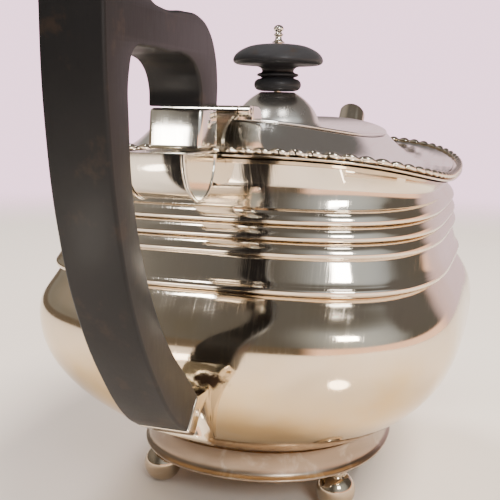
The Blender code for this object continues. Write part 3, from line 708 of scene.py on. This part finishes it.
def make_washer_and_nut(material):
    washer = [(1.4, 117.0), (4.05, 117.0), (4.2, 116.85), (4.2, 116.45), (4.05, 116.3), (1.4, 116.3)]
    make_piece("washer_fine", turned(washer, 48, True), material, "lid", ["knob_washer"])
    nut = [(1.62, 115.8), (2.9, 116.0), (3.2, 115.8), (3.2, 113.8), (2.9, 113.6), (1.62, 113.6)]
    make_piece("nut_fine", turned(nut, 6, True), material, "lid", ["knob_nut"])


# ---- hinge --------------------------------------------------------------------------
def across(start, end, radius, sides, dome=0.0, x=HINGE.x, z=HINGE.z):
    """A round bar that lies across the pot, on the hinge's axis unless told otherwise."""
    bm = bmesh.new()
    rod(bm, Vector((x, start * MM, z)), Vector((x, end * MM, z)), radius * MM, sides, dome * MM)
    return bm


def knuckle(start, end):
    return across(start, end, 1.3, 32, 0.12)


def hinge_bore():
    return across(-15.0, 15.0, 0.8, 20)


def flared_leaf():
    """Fixed leaf: narrow where it is soldered to the shoulder, wide at the barrel, hollow sides."""
    rows = smooth_rows([(4.2, 104.7), (4.35, 106.3), (4.9, 108.2), (5.9, 110.2), (7.4, 111.7),
                        (8.0, 112.4)], 4)
    bm = bmesh.new()
    rings = []
    for half, z in rows:
        front = -61.1 * MM
        back = (-58.8 - 0.6 * (z - 104.7) / 7.7) * MM
        ring = []
        for x, side in ((front, -1), (front, 1), (back, 1), (back, -1)):
            ring.append(bm.verts.new((x, side * half * MM, z * MM)))
        rings.append(ring)
    for lower, upper in zip(rings, rings[1:]):
        bridge(bm, lower, upper)
    bm.faces.new(rings[0])
    bm.faces.new(rings[-1])
    return bm


def make_hinge(material, dull):
    fixed = make_piece("hinge_leaf_body_fine", flared_leaf(), material, "pot", ["hinge_leaf_body"])
    cut(fixed, knuckle(-8.1, 8.1), "UNION")
    cut(fixed, hinge_bore())
    outline = [(-58.2, 113.75, True), (-55.6, 113.75, False), (-53.4, 113.5, False),
               (-51.7, 112.7, False), (-51.0, 111.6, False), (-50.9, 110.5, True),
               (-58.2, 110.5, True)]
    strap = side_shape("hinge_strap", outline, 11.1 * MM, 0.35 * MM, 6, True)
    moving = make_piece("hinge_leaf_lid_fine", strap, material, "lid", ["hinge_leaf_lid"])
    for side in (1, -1):
        ends = sorted((side * 8.4, side * 11.1))
        cut(moving, knuckle(*ends), "UNION")
        link = bmesh.new()
        bmesh.ops.create_cube(link, size=1.0)
        size = Matrix.Diagonal((2.6 * MM, 2.5 * MM, 2.2 * MM, 1.0))
        shift = Matrix.Translation((-58.7 * MM, side * 9.75 * MM, HINGE.z))
        bmesh.ops.transform(link, matrix=shift @ size, verts=link.verts)
        cut(moving, link, "UNION")
    cut(moving, hinge_bore())
    make_piece("hinge_pin_fine", across(-11.4, 11.4, 0.6, 20, 0.1), dull, "pot", ["hinge_pin"])


# ---- handle -------------------------------------------------------------------------
# x and z in millimetres, and whether the outline turns a sharp corner there.
HANDLE_OUTLINE = (
    (-69.0, 113.3, True), (-68.8, 119.0, False), (-70.2, 124.8, False), (-73.8, 129.4, False),
    (-79.5, 131.8, False), (-88.0, 132.0, False), (-98.0, 131.4, False), (-104.5, 132.8, False),
    (-109.5, 137.6, False), (-114.5, 142.6, False), (-119.2, 142.2, False), (-121.6, 137.0, False),
    (-122.0, 128.0, False), (-121.0, 110.0, False), (-117.6, 91.5, False), (-111.5, 74.5, False),
    (-101.2, 57.8, False), (-91.5, 47.0, False), (-86.0, 43.3, True), (-79.9, 49.7, True),
    (-86.0, 56.0, False), (-93.4, 63.0, False), (-101.2, 72.9, False), (-107.6, 85.2, False),
    (-111.6, 98.0, False), (-112.9, 110.0, False), (-112.8, 118.6, False), (-110.6, 122.9, False),
    (-105.5, 123.6, False), (-96.0, 123.4, False), (-87.5, 123.3, False), (-81.8, 121.2, False),
    (-79.2, 117.4, False), (-78.9, 113.3, True),
)


def make_handle(material):
    bm = side_shape("handle_wood", HANDLE_OUTLINE, HANDLE_HALF, 0.7 * MM, 14, True)
    make_piece("handle_fine", bm, material, "pot", ["handle"])


def make_upper_socket(material):
    """Tapered square cup that holds the wood's upper end, with softened edges and a rolled rim."""
    near = ((-79.5, 104.2, 6.2), (-78.5, 113.0, 6.2))
    far = ((-68.8, 104.2, 6.2), (-68.9, 113.0, 6.2))
    bm = round_edges(wedge(near, far), 0.9 * MM, 4)
    piece = make_piece("upper_socket_fine", bm, material, "pot", ["upper_socket"])
    near = ((-78.6, 105.1, 5.4), (-77.7, 114.0, 5.4))
    far = ((-69.7, 105.1, 5.4), (-69.7, 114.0, 5.4))
    cut(piece, round_edges(wedge(near, far), 0.5 * MM, 2))


def half_round(margin, top, sides=40):
    """Half-round side view of the bracket, grown by margin and lifted by top."""
    rim = []
    for index in range(sides + 1):
        angle = math.pi + math.pi * index / sides
        x = -80.8 + (9.2 + margin) * math.cos(angle)
        rim.append((x, 103.9 + top + (10.3 + margin) * math.sin(angle), True))
    return rim


def make_bracket(material):
    shell = side_shape("bracket_shell", half_round(0.0, 0.0), 6.0 * MM, 0.05 * MM)
    piece = make_piece("bracket_fine", shell, material, "pot", ["handle_bracket"])
    root = sharp([(-72.4, 103.7), (-67.5, 101.8), (-58.0, 101.8), (-58.0, 95.4), (-66.0, 95.4),
                  (-74.4, 97.4)])
    cut(piece, side_shape("bracket_root", root, 5.4 * MM, 0.4 * MM, 2), "UNION")
    cut(piece, side_shape("bracket_hollow", half_round(-1.8, -0.9), 7.0 * MM, 0.05 * MM))
    cut(piece, pot_volume())
    for label, side in (("left", 1), ("right", -1)):
        bm = side_shape("bracket_cap", half_round(0.5, 0.0), 0.35 * MM, 0.16 * MM)
        panel = side_shape("bracket_panel", half_round(-1.0, -0.9), 0.35 * MM, 0.05 * MM)
        shift = Matrix.Translation((0.0, side * 6.65 * MM, 0.0))
        bmesh.ops.transform(bm, matrix=shift, verts=bm.verts)
        cap = make_piece("bracket_cap_%s_fine" % label, bm, material, "pot", ["bracket_cap_" + label])
        shift = Matrix.Translation((0.0, side * 7.15 * MM, 0.0))
        bmesh.ops.transform(panel, matrix=shift, verts=panel.verts)
        cut(cap, panel)


def pot_volume():
    """The whole body as one solid a little larger than the real one, for trimming other pieces."""
    rows = [(a * MM, b * MM, n, z * MM, 0.0) for a, b, n, z in BOWL_ROWS]
    rows += girdle_sections()[::4]
    rows.append(lip_level(1.7 * MM, RIM_Z - GAP, END_RISE))
    rows.append(lip_level(1.7 * MM, RIM_Z + 8.0 * MM, END_RISE))
    return loft([grown(row, GAP) for row in rows], closed=False)


def make_lower_socket(material):
    near = ((-85.6, 42.9, 6.2), (-79.5, 49.3, 6.2))
    far = ((-54.0, 26.4, 0.9), (-60.0, 45.6, 2.8))
    bm = round_edges(wedge(near, far), 0.55 * MM, 3)
    piece = make_piece("lower_socket_fine", bm, material, "pot", ["lower_socket"])
    hole = sharp([(-86.2, 46.3), (-82.2, 50.3), (-74.9, 43.4), (-78.9, 39.4)])
    cut(piece, side_shape("lower_hole", hole, 5.2 * MM, 0.1 * MM, 2))
    cut(piece, pot_volume())


def make_handle_pins(material):
    for label, x, z in (("upper", -74.0, 109.6), ("lower", -79.6, 45.4)):
        bm = across(-6.4, 6.4, 0.9, 24, 0.15, x * MM, z * MM)
        make_piece("handle_pin_%s_fine" % label, bm, material, "pot", ["handle_pin_" + label])


# ---- spout --------------------------------------------------------------------------
def make_spout(material):
    """Tapering curved tube, open at both ends, with a slightly flared mouth.

    Each row is x, z, forward lean in degrees, half depth and half width, in millimetres.
    """
    rows = (
        (58.0, 44.0, 78.0, 20.0, 14.6), (68.0, 45.8, 78.0, 18.0, 13.4), (77.5, 49.0, 66.0, 14.6, 11.6),
        (86.0, 54.6, 50.0, 12.0, 10.2), (92.8, 62.5, 34.0, 10.2, 9.2), (97.8, 72.0, 25.0, 8.9, 8.4),
        (102.0, 82.0, 22.0, 7.9, 7.6), (106.2, 91.2, 24.0, 7.0, 6.8), (111.0, 100.4, 28.0, 6.2, 6.1),
        (115.2, 107.0, 34.0, 5.7, 5.6), (118.4, 111.2, 54.0, 6.1, 5.5),
    )
    sides = 56
    fine = smooth_rows(rows, 7)
    walls = [(row, 0.0) for row in fine] + [(fine[-1], 0.25), (fine[-1], 0.7)]
    walls += [(row, 1.0) for row in fine[::-1]]
    lips = {len(fine): 0.2, len(fine) + 1: 0.2}
    bm = bmesh.new()
    rings = []
    for index, ((x, z, lean, depth, width), inset) in enumerate(walls):
        tilt = math.radians(lean)
        forward = Vector((math.cos(tilt), 0.0, -math.sin(tilt)))
        ahead = Vector((math.sin(tilt), 0.0, math.cos(tilt))) * lips.get(index, 0.0)
        ring = []
        for step in range(sides):
            angle = 2 * math.pi * step / sides
            point = Vector((x, 0.0, z)) + ahead + forward * ((depth - inset) * math.cos(angle))
            point.y = (width - inset) * math.sin(angle)
            ring.append(bm.verts.new(point * MM))
        rings.append(ring)
    for index, ring in enumerate(rings):
        bridge(bm, ring, rings[(index + 1) % len(rings)])
    piece = make_piece("spout_fine", bm, material, "pot", ["spout"])
    cut(piece, pot_volume())


# ---- surroundings -------------------------------------------------------------------
def make_floor():
    """Pale sheet under the pot; its rim dissolves into the pale surroundings."""
    bm = bmesh.new()
    bmesh.ops.create_circle(bm, cap_ends=True, segments=128, radius=FLOOR_RADIUS)
    mesh = bpy.data.meshes.new("floor")
    bm.to_mesh(mesh)
    bm.free()
    material, graph, shader, place = new_material("floor_pale")
    spread = graph.node("ShaderNodeVectorMath", {"operation": "LENGTH"}, Vector=place).outputs["Value"]
    clouds = graph.noise(place, 9.0, 3.0, 0.5)
    colour = graph.mix(clouds, (0.75, 0.66, 0.575, 1.0), (0.76, 0.685, 0.605, 1.0))
    graph.put(shader, "Base Color", colour)
    shader.inputs["Roughness"].default_value = 0.8
    shader.inputs["Specular IOR Level"].default_value = 0.15
    graph.put(shader, "Alpha", graph.ramp(spread, 0.56 * FLOOR_RADIUS, 0.99 * FLOOR_RADIUS, 1.0, 0.0))
    mesh.materials.append(material)
    floor = bpy.data.objects.new("floor", mesh)
    bpy.context.scene.collection.objects.link(floor)


def make_world():
    """A dim grey room with a bright side, a warm strip near the ground and a pale end; all fixed.

    Rays straight from the camera see one plain pale colour instead.
    """
    world = bpy.data.worlds.new("studio")
    bpy.context.scene.world = world
    world.use_nodes = True
    graph = Graph(world.node_tree)
    direction = graph.node("ShaderNodeTexCoord").outputs["Generated"]
    parts = graph.node("ShaderNodeSeparateXYZ", Vector=direction).outputs
    towards_bright_side = graph.vector("DOT_PRODUCT", direction, (-0.61, -0.71, 0.36), "Value")
    glow = graph.ramp(towards_bright_side, 0.58, 1.05)
    glow = graph.math("MULTIPLY", glow, graph.ramp(parts["Z"], 0.85, 0.60))
    room = graph.mix(glow, (0.165, 0.155, 0.142, 1.0), (0.80, 0.86, 0.90, 1.0))
    room = graph.mix(graph.ramp(parts["Y"], 0.30, 0.58), room, (0.30, 0.28, 0.245, 1.0))
    leftwards = graph.ramp(parts["Y"], 0.45, 0.80)
    high_left = graph.math("MULTIPLY", leftwards, graph.ramp(parts["Z"], 0.20, 0.50))
    room = graph.mix(high_left, room, (0.42, 0.38, 0.34, 1.0))
    far = graph.ramp(parts["X"], -0.05, 0.15)
    rightwards = graph.ramp(parts["Y"], 0.20, -0.10)
    high_right = graph.math("MULTIPLY", rightwards, graph.ramp(parts["Z"], 0.25, 0.50))
    room = graph.mix(graph.math("MULTIPLY", far, high_right), room, (0.17, 0.155, 0.145, 1.0))
    lit_side = graph.ramp(parts["Y"], -0.02, -0.25)
    near_ground = graph.mix(lit_side, (0.20, 0.16, 0.12, 1.0), (2.3, 1.42, 1.02, 1.0))
    room = graph.mix(graph.ramp(parts["Z"], 0.13, 0.05), room, near_ground)
    ahead = graph.ramp(parts["X"], 0.72, 0.90)
    behind = graph.math("MULTIPLY", ahead, graph.ramp(parts["Z"], 0.42, 0.26))
    seen = graph.mix(behind, room, (1.35, 0.98, 1.02, 1.0))
    camera_ray = graph.node("ShaderNodeLightPath").outputs["Is Camera Ray"]
    colour = graph.mix(camera_ray, seen, (2.6, 1.66, 2.08, 1.0))
    shader = graph.node("ShaderNodeBackground", Color=colour, Strength=1.0)
    output = graph.node("ShaderNodeOutputWorld")
    graph.tree.links.new(shader.outputs[0], output.inputs["Surface"])


def area_light(name, place, target, size, power, colour, mirrored):
    data = bpy.data.lights.new(name, "AREA")
    data.shape = "RECTANGLE"
    data.size, data.size_y = size
    data.energy = power
    data.color = colour
    item = bpy.data.objects.new(name, data)
    bpy.context.scene.collection.objects.link(item)
    place = Vector(place)
    item.location = place
    item.rotation_euler = (Vector(target) - place).to_track_quat("-Z", "Y").to_euler()
    item.visible_camera = False
    item.visible_glossy = mirrored


def make_lights():
    """Studio lights round the pot, and two small ones at floor level that face up.

    Each row: bearing and height in degrees seen from the pot, distance, size, power, colour, and
    whether reflections show it.
    """
    rows = (
        ("ceiling_right", -140.0, 58.0, 1.10, (0.26, 0.10), 0.9, (1.0, 0.98, 0.97), True),
        ("window_right", -146.0, 26.0, 1.00, (0.27, 0.20), 5.0, (1.0, 1.0, 1.0), True),
        ("ceiling_left", 150.0, 52.0, 1.10, (0.14, 0.12), 1.6, (1.0, 0.98, 0.97), True),
        ("window_left", 157.0, 6.0, 0.80, (0.26, 0.20), 3.6, (1.0, 0.97, 0.93), True),
        ("key", -95.0, 62.0, 1.30, (0.60, 0.60), 37.0, (1.0, 0.93, 0.86), False),
        ("fill_behind", 60.0, 60.0, 1.30, (0.50, 0.50), 16.0, (0.98, 0.96, 1.0), False),
    )
    target = Vector((0.0, 0.0, 0.075))
    for name, bearing, height, distance, size, power, colour, mirrored in rows:
        turn = math.radians(bearing)
        rise = math.radians(height)
        level_reach = math.cos(rise)
        away = Vector((math.cos(turn) * level_reach, math.sin(turn) * level_reach, math.sin(rise)))
        area_light(name, target + away * distance, target, size, power, colour, mirrored)
    warm = (1.0, 0.90, 0.78)
    above = Vector((0.0, 0.0, 1.0))
    for label, x, y, size, power in (("left", -0.235, 0.070, (0.09, 0.05), 0.10),
                                     ("right", -0.104, -0.062, (0.024, 0.020), 0.011)):
        glint = Vector((x, y, 0.004))
        name = "table_glint_" + label
        area_light(name, glint, glint + above, size, power, warm, True)
        bpy.data.objects[name].data.shape = "ELLIPSE"
    only = bpy.data.collections.new("lit_by_left_window")
    only.objects.link(bpy.data.objects["upper_socket_fine"])
    bpy.data.objects["window_left"].light_linking.receiver_collection = only


def main():
    make_camera()
    bright = silver("silver_body", 0.085, 0.17, marked=True)
    raised = silver("silver_chased", 0.08, 0.10, 0.35, 0.6)
    lidded = silver("silver_lid", 0.11, 0.05, 0.8, clean=(0.90, 0.88, 0.85))
    satin = silver("silver_dome", 0.25, 0.08, 0.5, 0.2, (0.90, 0.86, 0.80))
    small = silver("silver_fittings", 0.11, 0.16, 0.25, 0.8, (0.84, 0.79, 0.70), (0.76, 0.66, 0.50))
    # Foot ring: dark brownish silver, partly tarnish and partly painted shade beneath the bowl.
    foot_tarnish_and_shade = silver("silver_foot", 0.30, 0.35, 0.6, 0.6, (0.46, 0.39, 0.31), (0.31, 0.24, 0.18))
    # Ball feet: dark olive silver, partly tarnish and partly painted shade under the pot.
    feet = silver("silver_feet", 0.12, 0.25, 0.3, 0.6, (0.52, 0.47, 0.40), (0.46, 0.38, 0.28))
    dull = silver("silver_inner", 0.26, 0.25, 0.3)
    wood = ebonised("ebonised_handle")
    turned_wood = ebonised("ebonised_knob", (200.0, 200.0, 200.0), 3.0)
    make_bowl(bright)
    make_girdle(bright)
    make_border(raised)
    make_shoulder(lidded)
    make_foot_ring(foot_tarnish_and_shade)
    make_ball_feet(feet)
    make_lid_plate(lidded)
    make_lid_bezel(dull)
    make_dome(satin)
    make_knob(turned_wood)
    make_finial(small)
    make_washer_and_nut(dull)
    make_hinge(small, dull)
    make_handle(wood)
    make_upper_socket(small)
    make_bracket(small)
    make_lower_socket(small)
    make_handle_pins(small)
    make_spout(bright)
    make_floor()
    make_world()
    make_lights()


main()
